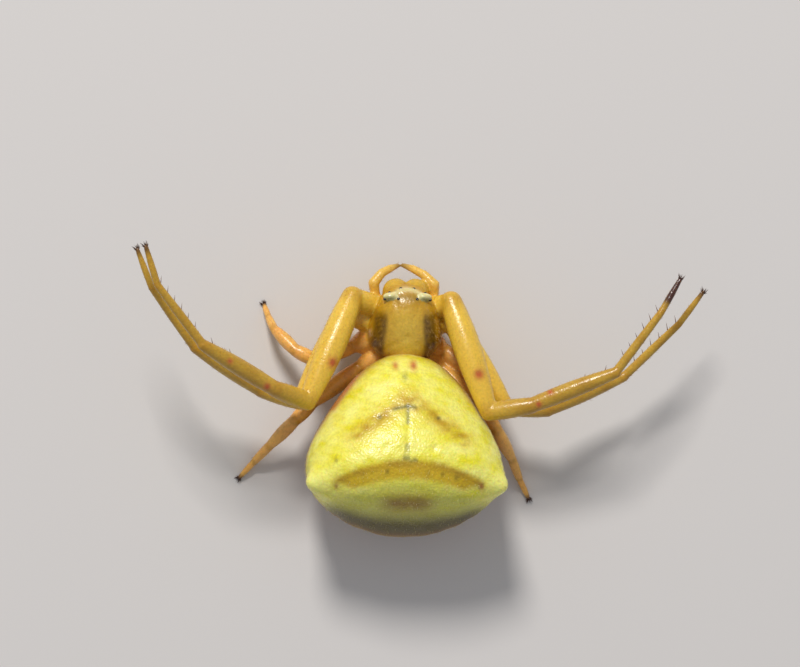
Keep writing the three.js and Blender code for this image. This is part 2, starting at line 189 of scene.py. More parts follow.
def closed_form(name, rings, first_pole, last_pole, ring_tints, pole_tints, lie=(0, 1, 0)):
    """A closed mesh in millimetres through rings of places, with a pole at each end. Each point
    keeps its tint, the way its hairs lie, and its place on an unwrap of the form."""
    global forms_made
    tile = forms_made % UNWRAP_TILES ** 2
    forms_made += 1
    count, around = rings.shape[:2]
    places = np.vstack([rings.reshape(-1, 3), first_pole, last_pole])
    start = np.arange(count - 1)[:, None] * around
    here = np.arange(around)[None, :]
    after = (here + 1) % around
    quads = np.stack([start + here, start + after, start + around + after, start + around + here], -1)
    quads = quads.reshape(-1, 4)
    first = count * around
    near = np.arange(around)
    far = (count - 1) * around + near
    fan_start = [(first, b, a) for a, b in zip(near, np.roll(near, -1))]
    fan_end = [(first + 1, a, b) for a, b in zip(far, np.roll(far, -1))]
    faces = quads.tolist() + fan_start + fan_end
    # The signed volume tells whether the faces point outwards
    a, b, c = (places[quads[:, k]] for k in (0, 1, 2))
    if np.einsum("ij,ij->i", a - places.mean(0), np.cross(b - a, c - a)).sum() < 0:
        faces = [face[::-1] for face in faces]
    mesh = bpy.data.meshes.new(name)
    mesh.from_pydata(places.tolist(), [], [list(map(int, face)) for face in faces])
    tints = np.ones((len(places), 4))
    tints[:, :3] = np.vstack([ring_tints.reshape(-1, 3), pole_tints])
    mesh.attributes.new("tint", "FLOAT_COLOR", "POINT").data.foreach_set("color", tints.ravel())
    row, column = np.divmod(np.arange(len(places)), around)
    unwrap = np.zeros((len(places), 3))
    for axis, share, tile_step in ((0, column / around, tile % UNWRAP_TILES),
                                   (1, np.minimum(row / count, 1), tile // UNWRAP_TILES)):
        unwrap[:, axis] = (share * TILE_FILL + TILE_MARGIN + tile_step) / UNWRAP_TILES
    mesh.attributes.new("unwrap", "FLOAT_VECTOR", "POINT").data.foreach_set("vector", unwrap.ravel())
    ways = np.broadcast_to(np.asarray(lie, dtype=float), places.shape)
    mesh.attributes.new("lie", "FLOAT_VECTOR", "POINT").data.foreach_set("vector", ways.ravel())
    form = bpy.data.objects.new(name, mesh)
    bpy.context.scene.collection.objects.link(form)
    return form


def point_values(mesh, name, width):
    values = np.zeros(len(mesh.vertices) * width)
    if name == "place":
        mesh.vertices.foreach_get("co", values)
    else:
        mesh.attributes[name].data.foreach_get("color" if width == 4 else "vector", values)
    return values.reshape(-1, width)


def one_skin(name, forms, cell, passes):
    """One closed skin from forms that run into one another, laid again as an even net of faces
    of the size `cell`, so that no seam shows, with the tints, hair ways and unwrap carried over."""
    others = bpy.data.collections.new(name + "_forms")
    for form in forms[1:]:
        others.objects.link(form)
    join = forms[0].modifiers.new("union", "BOOLEAN")
    join.operation = "UNION"
    join.operand_type = "COLLECTION"
    join.collection = others
    join.solver = "MANIFOLD"
    depsgraph = bpy.context.evaluated_depsgraph_get()
    joined = bpy.data.meshes.new_from_object(forms[0].evaluated_get(depsgraph))
    old = {value: np.vstack([point_values(form.data, value, width) for form in forms])
           for value, width in (("place", 3), ("tint", 4), ("lie", 3), ("unwrap", 3))}
    for form in forms:
        bpy.data.objects.remove(form)
    bpy.data.collections.remove(others)
    skin = bpy.data.objects.new(name, joined)
    bpy.context.scene.collection.objects.link(skin)
    net = skin.modifiers.new("net", "REMESH")
    net.mode = "VOXEL"
    net.voxel_size = cell
    relax = skin.modifiers.new("relax", "SMOOTH")
    relax.factor = 0.5
    relax.iterations = passes
    mesh = bpy.data.meshes.new_from_object(skin.evaluated_get(bpy.context.evaluated_depsgraph_get()))
    mesh.name = name
    skin.modifiers.clear()
    skin.data = mesh
    mesh.materials.clear()

    tree = KDTree(len(old["place"]))
    for number, place in enumerate(old["place"]):
        tree.insert(place, number)
    tree.balance()
    new_places = point_values(mesh, "place", 3)
    found = [tree.find_n(place, NEAREST_POINTS) for place in new_places]
    numbers = np.array([[near[1] for near in row] for row in found])
    gaps = np.array([[near[2] for near in row] for row in found])
    weights = 1 / (gaps + CARRY_SOFTNESS * cell) ** 2
    weights /= weights.sum(axis=1, keepdims=True)
    tints = (old["tint"][numbers] * weights[..., None]).sum(axis=1)
    mesh.attributes.new("tint", "FLOAT_COLOR", "POINT").data.foreach_set("color", tints.ravel())
    for carried in ("lie", "unwrap"):
        values = old[carried][numbers[:, 0]]
        mesh.attributes.new(carried, "FLOAT_VECTOR", "POINT").data.foreach_set("vector", values.ravel())
    bpy.data.meshes.remove(joined)
    mesh.vertices.foreach_set("co", metres(new_places).ravel())
    mesh.update()
    mesh.shade_smooth()
    return skin


def lone_piece(form):
    """Turns a form that stays outside the skins into a piece in metres."""
    form.data.vertices.foreach_set("co", metres(point_values(form.data, "place", 3)).ravel())
    form.data.shade_smooth()
    return form


def dress(piece, material, nodes):
    piece.data.materials.append(material)
    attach(piece, "root")
    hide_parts(*nodes)


NOISE_RANGE = (0.3, 0.7)
ROUGHNESS_SPREAD = 0.25
RELIEF_DEPTH = 0.03
GLOW_COLOURS = (1.0, 0.65, 0.2)
COAT = 0.28
COAT_ROUGHNESS = 0.16


def cuticle_group():
    """Fine mottling and pits of the cuticle, worked out from the place on the body."""
    tree = bpy.data.node_groups.new("cuticle", "ShaderNodeTree")
    face = tree.interface
    face.new_socket("Tint", in_out="INPUT", socket_type="NodeSocketColor")
    for name in ("Grain Size", "Grain Strength", "Pit Size", "Pit Depth", "Gloss"):
        face.new_socket(name, in_out="INPUT", socket_type="NodeSocketFloat")
    face.new_socket("Color", in_out="OUTPUT", socket_type="NodeSocketColor")
    for name in ("Roughness", "Height"):
        face.new_socket(name, in_out="OUTPUT", socket_type="NodeSocketFloat")
    given = add_node(tree, "NodeGroupInput").outputs
    place = add_node(tree, "ShaderNodeTexCoord").outputs["Object"]

    scale = math_node(tree, "DIVIDE", 1 / MM, given["Grain Size"])
    noise = add_node(tree, "ShaderNodeTexNoise", {"Vector": place, "Scale": scale, "Detail": 4.0})
    grain = noise.outputs["Fac"]
    spread = add_node(tree, "ShaderNodeMapRange", {
        "Value": grain, "From Min": NOISE_RANGE[0], "From Max": NOISE_RANGE[1],
        "To Min": -1.0, "To Max": 1.0})
    amount = math_node(tree, "MULTIPLY", spread.outputs[0], given["Grain Strength"])
    bright = math_node(tree, "ADD", amount, 1.0)
    shade = add_node(tree, "ShaderNodeVectorMath", {0: given["Tint"], "Scale": bright}, operation="SCALE")

    scale = math_node(tree, "DIVIDE", 1 / MM, given["Pit Size"])
    pits = add_node(tree, "ShaderNodeTexVoronoi", {"Vector": place, "Scale": scale}, feature="SMOOTH_F1")
    depth = math_node(tree, "MULTIPLY", pits.outputs["Distance"], given["Pit Depth"])
    add_node(tree, "NodeGroupOutput", {
        "Color": shade.outputs[0],
        "Roughness": math_node(tree, "MULTIPLY_ADD", grain, ROUGHNESS_SPREAD, given["Gloss"]),
        "Height": math_node(tree, "ADD", depth, amount)})
    return tree


CUTICLE = cuticle_group()


def cuticle_material(name, bump, glow, glow_reach, cuticle):
    material, tree, shader = new_material(name)
    tint = add_node(tree, "ShaderNodeAttribute", attribute_name="tint").outputs["Color"]
    group = add_node(tree, "ShaderNodeGroup", {"Tint": tint, **cuticle}, node_tree=CUTICLE).outputs
    relief = add_node(tree, "ShaderNodeBump", {
        "Strength": bump, "Distance": RELIEF_DEPTH * MM, "Height": group["Height"]}).outputs["Normal"]
    set_inputs(shader, {
        "Base Color": group["Color"], "Roughness": group["Roughness"], "Normal": relief,
        "Subsurface Weight": glow, "Subsurface Radius": GLOW_COLOURS, "Subsurface Scale": glow_reach * MM,
        "Coat Weight": COAT, "Coat Roughness": COAT_ROUGHNESS, "Coat Normal": relief})
    return material


# Abdomen
# A soft, waxy, lemon-yellow bag, low at the waist and broad and high at two blunt shoulder
# humps, then falling steeply to the spinnerets. The markings lie in the skin itself.
ABDOMEN_LENGTH = 6.17
ABDOMEN_HALF_WIDTH = 3.4
ABDOMEN_AXIS_HEIGHT = 2.15
WAIST_BREADTH = 0.73
SHOULDER_BREADTH = 0.35
WAIST_TOP = 1.7
SHOULDER_RISE = 0.95
REAR_DROP = 0.9
BELLY_DEPTH = 1.78
SHOULDER_SHARE = 0.68
SHOULDER_BOXINESS = 1.3
HUMP = np.array([2.92, 4.35, 3.75])
HUMP_LEAN = np.array([0.8, 0.12, 0.45])
HUMP_HEIGHT = 0.42
HUMP_SPREAD = 0.5
ABDOMEN_RINGS = 170
ABDOMEN_AROUND = 250

LEMON = linear(234, 226, 18)
CREAM = linear(251, 247, 134)
MUSTARD = linear(212, 176, 0)
# Olive of the spots and nozzle tips, also used as painted shade down the abdomen's rear slope
OLIVE_AND_SHADE = linear(92, 80, 6)
DEEP_OLIVE = linear(152, 114, 0)
BROWN_OLIVE = linear(146, 98, 0)
PALE_GREEN = linear(196, 196, 76)
# Brownish pink of the flanks, also used as painted shade low down under the abdomen's rim
PINKISH_FLANK_AND_SHADE = linear(172, 106, 68)
RUST = linear(196, 92, 44)
DARK_GREEN = linear(84, 88, 44)
BLACKISH = linear(50, 40, 24)


def rounding(share):
    return 2 * np.sqrt(np.clip(share * (1 - share), 0, None))


def square_round(value, power):
    return np.sign(value) * np.abs(value) ** (2 / power)


def abdomen_places(share, angle):
    above = np.sin(angle) > 0
    breadth = WAIST_BREADTH + SHOULDER_BREADTH * smooth(share, 0.08, 0.85)
    width = ABDOMEN_HALF_WIDTH * rounding(share) * breadth
    top = WAIST_TOP + SHOULDER_RISE * smooth(share, 0.05, SHOULDER_SHARE)
    top = top - REAR_DROP * smooth(share, 0.75, 1)
    height = rounding(share) * np.where(above, top, BELLY_DEPTH)
    power = np.where(above, 2 + SHOULDER_BOXINESS * bell(share - SHOULDER_SHARE, 0.2), 2.1)
    places = np.stack([width * square_round(np.cos(angle), power), ABDOMEN_LENGTH * share,
                       ABDOMEN_AXIS_HEIGHT + height * square_round(np.sin(angle), power)], -1)
    for side in (1, -1):
        hump = HUMP * (side, 1, 1)
        lean = HUMP_LEAN * (side, 1, 1) / np.linalg.norm(HUMP_LEAN)
        near = bell(np.linalg.norm(places - hump, axis=-1), HUMP_SPREAD)
        places = places + lean * (HUMP_HEIGHT * near)[..., None]
    return places


def ripple(places, size, seed):
    """A slow, even wobble between -1 and 1, the same for the same place."""
    chance = np.random.default_rng(seed)
    total = np.zeros(places.shape[:-1])
    for _ in range(6):
        direction = chance.normal(size=3)
        direction /= np.linalg.norm(direction)
        stretch = chance.uniform(0.6, 1.5)
        start = chance.uniform(0, 6)
        total += np.sin(places @ direction * (2 * pi / size) * stretch + start)
    return total / 6


def to_line(x, y, start, end):
    """Distance in plan from a straight line, and the share along it."""
    start, end = np.array(start), np.array(end)
    along = end - start
    share = np.clip(((x - start[0]) * along[0] + (y - start[1]) * along[1]) / (along @ along), 0, 1)
    return np.hypot(x - start[0] - share * along[0], y - start[1] - share * along[1]), share


BAND_FRONT = 3.5
BAND_BOW = 0.115
BAND_BREADTH = 0.58
BAND_REACH = 2.7
LOWER_PATCH_PLACE = 4.95
LOWER_PATCH_REACH = 1.25
HEART_MARK_PEAK = np.array([0.1, 1.55])
HEART_MARK_FEET = {1: (1.8, 2.75), -1: (-1.85, 2.8)}
HEART_MARK_BREADTH = 0.33
HEART_PIT = (0.98, 2.12)
REAR_PIT = (0.8, 3.1)
FLANK_STREAK = ((1.62, 0.72), (2.42, 1.9))
# Start, end and width of each dark line along the middle of the back
MIDDLE_LINES = (
    ((0.04, 1.72), (0.06, 2.3), 0.05),
    ((0.1, 1.75), (0.5, 1.85), 0.05),
    ((0.04, 1.72), (-0.2, 1.78), 0.06),
    ((0.06, 3.0), (0.08, 3.38), 0.05),
    ((0.08, 3.38), (-0.2, 3.5), 0.04),
    ((0.08, 3.38), (0.28, 3.52), 0.04),
)
# Place, width, colour and strength of each spot: three over the waist, two at the ends of the
# shoulder band, one by the left hump and four along the band
SPOTS = (
    ((0.4, 0.42), 0.1, RUST, 0.8),
    ((-0.2, 0.4), 0.13, RUST, 0.9),
    ((0.1, 0.78), 0.09, DARK_GREEN, 0.5),
    ((2.38, 4.42), 0.07, RUST * 0.5, 0.8),
    ((-2.42, 4.34), 0.09, RUST * 0.6, 0.9),
    ((2.4, 3.55), 0.06, OLIVE_AND_SHADE, 0.6),
    ((-0.55, 3.95), 0.06, OLIVE_AND_SHADE, 0.6),
    ((0.72, 3.9), 0.06, OLIVE_AND_SHADE, 0.6),
    ((-1.1, 3.95), 0.06, OLIVE_AND_SHADE, 0.6),
    ((-1.55, 4.05), 0.07, OLIVE_AND_SHADE, 0.6),
)


def ground_tints(places):
    """Lemon mottled with cream, greener behind the shoulders, then olive painted shade down the rear slope,
    brownish pink along the flanks and brownish pink painted shade under the rim."""
    x, y, z = places[..., 0], places[..., 1], places[..., 2]
    mottle = 0.5 * ripple(places, 1.1, 3) + 0.5 * ripple(places, 0.55, 6) + 0.3 * ripple(places, 0.28, 4)
    tint = mix(LEMON, CREAM, 0.5 + mottle)
    hump = bell(np.hypot(np.abs(x) - 3.1, y - HUMP[1]), 0.5) * smooth(z, 2.9, 3.6)
    tint = mix(tint, CREAM, 0.9 * hump)
    line = 3.72 + 0.14 * np.abs(x) ** 1.75
    tint = mix(tint, PALE_GREEN, 0.6 * smooth(y, line + 0.3, line + 0.75))
    # Painted shade: olive darkening down the rear slope, which faces away from the lamp at the head side
    shaded_rear_slope = smooth(z, 4.0, 3.0) * smooth(z, 1.9, 2.6)
    tint = mix(tint, OLIVE_AND_SHADE, smooth(y, line + 0.2, line + 1.2) * shaded_rear_slope)
    # Painted shade: brownish pink darkening low on the abdomen, under the rim
    tint = mix(tint, PINKISH_FLANK_AND_SHADE, 0.85 * smooth(z, 2.9, 1.9))
    flank = bell(z - 2.35, 0.35) * smooth(y, 0.1, 0.8) * smooth(y, 3.4, 2.2)
    return mix(tint, PINKISH_FLANK_AND_SHADE, 0.55 * flank)


def band_tints(places, tint):
    """The mustard band across the shoulders and the browner patch down the rear slope."""
    x, y, z = places[..., 0], places[..., 1], places[..., 2]
    wobble = ripple(places, 1.1, 3)
    patchy = ripple(places, 0.55, 6)
    fine = ripple(places, 0.28, 4)
    back = smooth(z, 2.3, 3.0)
    reach = smooth(np.abs(x), BAND_REACH, BAND_REACH - 0.4)
    front = BAND_FRONT + BAND_BOW * x * x + 0.03 * fine
    rear = front + BAND_BREADTH * smooth(np.abs(x), 2.6, 1.7)
    band = smooth(y, front - 0.1, front + 0.1) * smooth(y, rear + 0.16, rear - 0.1) * reach
    tint = mix(tint, MUSTARD, back * band * (0.9 + 0.1 * wobble))
    edge = bell(y - front - 0.1, 0.15) * reach
    tint = mix(tint, DEEP_OLIVE, back * 0.8 * edge * (0.7 + 0.6 * patchy))
    lower = bell(y - LOWER_PATCH_PLACE, 0.3) * smooth(np.abs(x), LOWER_PATCH_REACH, 0.35)
    lower = lower * smooth(z, 1.9, 2.6)
    return mix(tint, BROWN_OLIVE, 0.95 * lower * (0.85 + 0.2 * fine))


def mark_tints(places, tint):
    """The roof-shaped mark over the heart with its dark pits, the dark lines and the spots."""
    x, y, z = places[..., 0], places[..., 1], places[..., 2]
    fine = ripple(places, 0.28, 4)
    back = smooth(z, 2.3, 3.0)
    blotches = 0.75 + 0.7 * ripple(places, 0.42, 7)
    for side, foot in HEART_MARK_FEET.items():
        away, share = to_line(x, y, HEART_MARK_PEAK * (side, 1), foot)
        roof = bell(away, HEART_MARK_BREADTH - 0.05 * share) * np.clip(blotches + 0.25 * fine, 0.4, 1)
        tint = mix(tint, MUSTARD, back * roof)
        core = bell(away, 0.14) * np.clip(blotches - 0.1, 0, 1)
        tint = mix(tint, DEEP_OLIVE, back * 0.45 * core)
        pit = bell(np.hypot(x - HEART_PIT[0] * side, y - HEART_PIT[1]), 0.06)
        tint = mix(tint, BLACKISH, back * 0.95 * pit)
    for start, end, width in MIDDLE_LINES:
        away, _ = to_line(x, y, start, end)
        tint = mix(tint, DARK_GREEN, back * 0.8 * bell(away, width))
    for (mark_x, mark_y), width, colour, strength in SPOTS:
        spot = bell(np.hypot(x - mark_x, (y - mark_y) * 0.7), width)
        tint = mix(tint, colour, strength * spot * smooth(z, 2.4, 2.8))
    away, _ = to_line(x, y, *FLANK_STREAK)
    return mix(tint, RUST, 0.6 * bell(away, 0.07) * smooth(z, 2.0, 2.4))


def abdomen_tints(places):
    return mark_tints(places, band_tints(places, ground_tints(places)))


def ring_grid(rings, around):
    """Shares along a form, closer together towards its ends, and angles round it."""
    shares = (1 - np.cos(np.linspace(0, pi, rings + 2)[1:-1])) / 2
    angles = np.linspace(0, 2 * pi, around, endpoint=False)
    return np.meshgrid(shares, angles, indexing="ij")


def surface_normals(rings):
    along = np.gradient(rings, axis=0)
    across = np.roll(rings, -1, 1) - np.roll(rings, 1, 1)
    normals = np.cross(along, across)
    normals /= np.linalg.norm(normals, axis=-1, keepdims=True) + 1e-12
    middle = rings.mean(axis=1, keepdims=True)
    return normals * np.sign(((rings - middle) * normals).sum(-1).mean())


ABDOMEN_BACK = 2.5
PIT_DEPTH = 0.05
GROOVE_DEPTH = 0.025
PLEAT_SPACING = 0.34
PLEAT_DEPTH = 0.012
ABDOMEN_INSET = 0.03
share, angle = ring_grid(ABDOMEN_RINGS, ABDOMEN_AROUND)
abdomen_rings = abdomen_places(share, angle)
normals = surface_normals(abdomen_rings)
x, y, z = abdomen_rings[..., 0], abdomen_rings[..., 1], abdomen_rings[..., 2]
relief = 0.012 * ripple(abdomen_rings, 0.5, 11) + 0.02 * ripple(abdomen_rings, 1.6, 12)
for side in (1, -1):
    for pit_x, pit_y in (HEART_PIT, REAR_PIT):
        pit = bell(np.hypot(x - pit_x * side, y - pit_y), 0.12)
        relief = relief - PIT_DEPTH * pit * (z > ABDOMEN_BACK)
groove = bell(x - 0.05, 0.09) * smooth(y, 1.5, 1.8) * smooth(y, 3.6, 3.3)
relief = relief - GROOVE_DEPTH * groove * (z > ABDOMEN_BACK)
pleats = np.sin((y + 0.35 * z) * 2 * pi / PLEAT_SPACING + 0.4 * ripple(abdomen_rings, 2.0, 13))
relief = relief + PLEAT_DEPTH * pleats * smooth(y, 4.9, 5.4) * smooth(z, 3.6, 3.0)
abdomen_rings = abdomen_rings + normals * (relief - ABDOMEN_INSET)[..., None]
abdomen_ends = np.array([[0, 0, ABDOMEN_AXIS_HEIGHT], [0, ABDOMEN_LENGTH, ABDOMEN_AXIS_HEIGHT]])
abdomen_form = closed_form("abdomen_form", abdomen_rings, abdomen_ends[0], abdomen_ends[1],
                           abdomen_tints(abdomen_rings), abdomen_tints(abdomen_ends))


def ball_form(name, middle, size, tint, rings=24, around=36):
    """A ball stretched to three half sizes."""
    rise = np.linspace(-pi / 2, pi / 2, rings + 2)[1:-1]
    turn_angle = np.linspace(0, 2 * pi, around, endpoint=False)
    up, way = np.meshgrid(rise, turn_angle, indexing="ij")
    unit = np.stack([np.cos(up) * np.cos(way), np.sin(up), np.cos(up) * np.sin(way)], -1)
    places = np.asarray(middle, dtype=float) + unit * np.asarray(size)
    poles = np.asarray(middle) + np.array([[0, -1, 0], [0, 1, 0]]) * np.asarray(size)
    tint_at = tint if callable(tint) else lambda spots: np.broadcast_to(tint, spots.shape)
    return closed_form(name, places, poles[0], poles[1], tint_at(places), tint_at(poles))


def limb_form(name, start, end, radius_at, tint_at, bow=0.0, around=28, step=0.06):
    """A round piece of limb with a dome at each end; radius and tint follow the share along."""
    start, end = np.asarray(start, dtype=float), np.asarray(end, dtype=float)
    along = end - start
    length = np.linalg.norm(along)
    along = along / length
    side = np.cross(along, (0, 0, 1))
    side /= np.linalg.norm(side)
    lift = np.cross(side, along)
    dome = np.linspace(0, pi / 2, 7)[1:]
    first, last = radius_at(0.0), radius_at(1.0)
    body_shares = np.linspace(0, 1, max(4, ceil(length / step)))[1:-1]
    stations = np.concatenate([-first * np.cos(dome), body_shares * length,
                               length + last * np.cos(dome[::-1])])
    shares = np.clip(stations / length, 0, 1)
    radii = np.concatenate([first * np.sin(dome), radius_at(body_shares), last * np.sin(dome[::-1])])
    way = np.linspace(0, 2 * pi, around, endpoint=False)
    middles = start + stations[:, None] * along + (bow * np.sin(pi * shares))[:, None] * lift
    spokes = np.cos(way)[:, None] * side + np.sin(way)[:, None] * lift
    rings = middles[:, None, :] + radii[:, None, None] * spokes[None]
    poles = np.array([start - along * first, end + along * last])
    tints = tint_at(np.repeat(shares[:, None], around, 1), rings)
    return closed_form(name, rings, poles[0], poles[1], tints, np.stack([tints[0, 0], tints[-1, 0]]), along)


# Spinnerets
# Six blunt silk nozzles on a low ring at the rear end, of the same skin as the abdomen.
SPINNERET_MIDDLE = np.array([0, 5.5, 1.12])
SPINNERET_RING = (0.42, 0.3, 0.32)
SPINNERET_TINT = linear(170, 130, 70)
NOZZLE_RADIUS = 0.13
# Shift to the rear and length of the three nozzles of each side
NOZZLES = ((-0.1, 0.34), (0.08, 0.27), (0.24, 0.42))
nozzle_forms = [ball_form("ring_form", SPINNERET_MIDDLE, SPINNERET_RING, SPINNERET_TINT)]
for side in (1, -1):
    for shift, length in NOZZLES:
        root = SPINNERET_MIDDLE + (side * 0.2, shift, -0.15)
        reach = np.array([side * 0.04, 0.6, -0.55])
        nozzle_forms.append(limb_form("nozzle_form", root, root + reach / np.linalg.norm(reach) * length,
                                      lambda share: NOZZLE_RADIUS * (1 - 0.55 * share),
                                      lambda share, rings: mix(SPINNERET_TINT, OLIVE_AND_SHADE, share), around=20))
abdomen_skin = one_skin("abdomen_skin", [abdomen_form, *nozzle_forms], cell=0.045, passes=2)
abdomen_material = cuticle_material(
    "waxy_yellow_skin", bump=0.55, glow=0.35, glow_reach=0.12,
    cuticle={"Grain Size": 0.1, "Grain Strength": 0.1, "Pit Size": 0.07, "Pit Depth": 0.9, "Gloss": 0.32})
dress(abdomen_skin, abdomen_material, ["abdomen", "spinnerets"])


# Head and chest
# One hard shield, the carapace, over a plate underneath, with the jaws, mouthparts and waist
# stalk. Amber with a pale middle and two dark olive side bands, and a pale ridge of eyes.
CARAPACE_FRONT = -2.32
CARAPACE_LENGTH = 2.72
CARAPACE_HALF_WIDTH = 1.36
RIM_HEIGHT = 1.42
CROWN = 1.24
CARAPACE_RINGS = 110
CARAPACE_AROUND = 140
HEAD_SHIFT = 0.07
RIDGE_PLACE = -2.13
RIDGE_ARCH = 0.75
RIDGE_BREADTH = 0.09
SIDE_BAND_PLACE = 0.81
SIDE_BAND_SPREAD = 0.07
GROOVE_HUB = -0.55
GROOVE_REACH = 1.4
GROOVE_TURNS = (35, 70, 110, 145, 215, 250, 290, 325)
JAW_RADIUS = 0.46
WAIST_RADIUS = 0.19
AMBER = linear(202, 156, 16)
PALE_AMBER = linear(226, 190, 72)
DEEP_AMBER = linear(182, 130, 14)
# Olive brown of the side bands and jaw tips, also used as painted shade on the rear of the eye tubercles
OLIVE_BROWN_AND_SHADE = linear(96, 66, 8)
RIDGE_CREAM = linear(232, 222, 160)
RIDGE_GREEN = linear(120, 122, 70)
UNDERSIDE = linear(200, 150, 66)
LEG_AMBER = linear(238, 196, 68)


def carapace_places(share, angle):
    face = 1 - smooth(share, 0, 0.15)
    width = rounding(share) * (1.15 + 0.2 * smooth(share, 0.35, 0.75) + 0.25 * face)
    blunt = np.clip(1 - np.abs(2 * share - 1) ** 3, 0, None) ** (1 / 3)
    height = CROWN * blunt * (1.1 - 0.3 * smooth(share, 0.35, 0.95))
    height = height * np.where(np.sin(angle) > 0, 1, 0.15)
    return np.stack([CARAPACE_HALF_WIDTH / 1.35 * width * square_round(np.cos(angle), 2.5),
                     CARAPACE_FRONT + CARAPACE_LENGTH * share,
                     RIM_HEIGHT + height * square_round(np.sin(angle), 2.5)], -1)


def ridge_line(x):
    """Where the pale ridge of the eyes runs: it arches forward through the middle."""
    return RIDGE_PLACE + RIDGE_ARCH * x * x


def carapace_tints(places):
    x, y, z = places[..., 0], places[..., 1], places[..., 2]
    fine = ripple(places, 0.16, 23)
    tint = mix(AMBER, DEEP_AMBER, 0.35 + 0.4 * ripple(places, 0.5, 21))
    middle = bell(x, 0.68) * smooth(y, -1.9, -0.9)
    tint = mix(tint, PALE_AMBER, middle)
    from_middle = np.abs(x - HEAD_SHIFT)
    band_place = SIDE_BAND_PLACE + SIDE_BAND_SPREAD * smooth(y, -1.0, -0.3)
    side_band = smooth(np.abs(from_middle - band_place) + 0.03 * fine, 0.29, 0.13) * smooth(y, -1.5, -1.1)
    tint = mix(tint, OLIVE_BROWN_AND_SHADE, side_band * (0.85 + 0.25 * fine) * smooth(z, 1.3, 1.6))
    ridge = bell(y - ridge_line(x), RIDGE_BREADTH) * smooth(np.abs(x), 0.6, 0.45) * smooth(z, 1.9, 2.2)
    tint = mix(tint, RIDGE_CREAM, 0.8 * ridge)
    behind = bell(y + 1.83, 0.14) * smooth(np.abs(x), 0.5, 0.3) * smooth(z, 2.1, 2.3)
    tint = mix(tint, RIDGE_GREEN, 0.35 * behind)
    return mix(tint, LEG_AMBER, 0.5 * smooth(z, 1.75, 1.45))


share, angle = ring_grid(CARAPACE_RINGS, CARAPACE_AROUND)
carapace_rings = carapace_places(share, angle)
normals = surface_normals(carapace_rings)
x, y, z = carapace_rings[..., 0], carapace_rings[..., 1], carapace_rings[..., 2]
grooves = 0.0
for turn in GROOVE_TURNS:
    groove_end = (GROOVE_REACH * cos(radians(turn)), GROOVE_HUB - GROOVE_REACH * sin(radians(turn)))
    lane, along_lane = to_line(x, y, (0, GROOVE_HUB), groove_end)
    grooves = grooves + bell(lane, 0.06) * smooth(along_lane, 0.15, 0.4)
relief = -0.02 * grooves - 0.05 * bell(np.hypot(x, y + 0.5), 0.12) + 0.01 * ripple(carapace_rings, 0.4, 22)
relief = relief + 0.06 * bell(y - ridge_line(x), RIDGE_BREADTH) * smooth(np.abs(x), 0.7, 0.5)
carapace_rings = carapace_rings + normals * ((relief * (z > 1.6)) - 0.02)[..., None]
ends = np.array([[0, CARAPACE_FRONT, RIM_HEIGHT], [0, CARAPACE_FRONT + CARAPACE_LENGTH, RIM_HEIGHT]])
body_forms = [closed_form("carapace_form", carapace_rings, ends[0], ends[1],
                          carapace_tints(carapace_rings), carapace_tints(ends)),
              ball_form("sternum_form", (0, -0.85, 1.3), (1.0, 1.15, 0.46), UNDERSIDE),
              ball_form("mouth_form", (0, -2.02, 1.02), (0.34, 0.28, 0.28), UNDERSIDE)]
TUBERCLE_MIDDLE = np.array([0.55, -1.87, 2.42])
TUBERCLE_SIZE = np.array([0.28, 0.15, 0.2])


def tubercle_tint(places):
    """Cream rims round a grey-green top, with olive painted shade on the rear side."""
    x, y = places[..., 0], places[..., 1]
    inside = bell(np.hypot((np.abs(x) - 0.57) / 2.0, y + 1.8), 0.1)
    # Painted shade: olive darkening the rear side of each tubercle, away from the lamp
    return mix(mix(RIDGE_CREAM, RIDGE_GREEN, 0.9 * inside), OLIVE_BROWN_AND_SHADE, 0.5 * smooth(y, -1.8, -1.7))


for side in (1, -1):
    body_forms.append(ball_form("tubercle_form", TUBERCLE_MIDDLE * (side, 1, 1), TUBERCLE_SIZE,
                                tubercle_tint, 40, 56))


def plain_tint(tint):
    return lambda share, rings: np.broadcast_to(tint, rings.shape)


def jaw_tint(share, rings):
    return mix(mix(AMBER, PALE_AMBER, 0.4), OLIVE_BROWN_AND_SHADE, 0.5 * smooth(share, 0.8, 1.0))


for side in (1, -1):
    body_forms.append(limb_form("jaw_form", (side * 0.32, -2.05, 1.55), (side * 0.27, -2.17, 0.95),
                                lambda share: JAW_RADIUS * (1 - 0.35 * share), jaw_tint, around=40))
body_forms.append(limb_form("waist_form", (0, -0.2, 1.2), (0, 1.1, 1.35),
                            lambda share: WAIST_RADIUS + 0 * share, plain_tint(UNDERSIDE)))


# Legs and palps
# Eight jointed legs and two short palps of the same amber cuticle. Every piece of a limb
# swells between its joints; at each joint the next piece starts as a rounded knob.
PAIRS = {
    1: {"lengths": (3.95, 1.45, 3.0, 2.5, 1.3), "radii": (0.43, 0.32, 0.29, 0.155, 0.12), "coxa": 0.38},
    2: {"lengths": (3.6, 1.36, 2.85, 2.56, 1.32), "radii": (0.38, 0.29, 0.26, 0.15, 0.115), "coxa": 0.44},
    3: {"lengths": (1.5, 0.62, 1.1, 0.65, 0.55), "radii": (0.27, 0.25, 0.23, 0.15, 0.11), "coxa": 0.41},
    4: {"lengths": (2.05, 0.75, 1.4, 0.85, 0.78), "radii": (0.27, 0.25, 0.23, 0.16, 0.11), "coxa": 0.34},
}
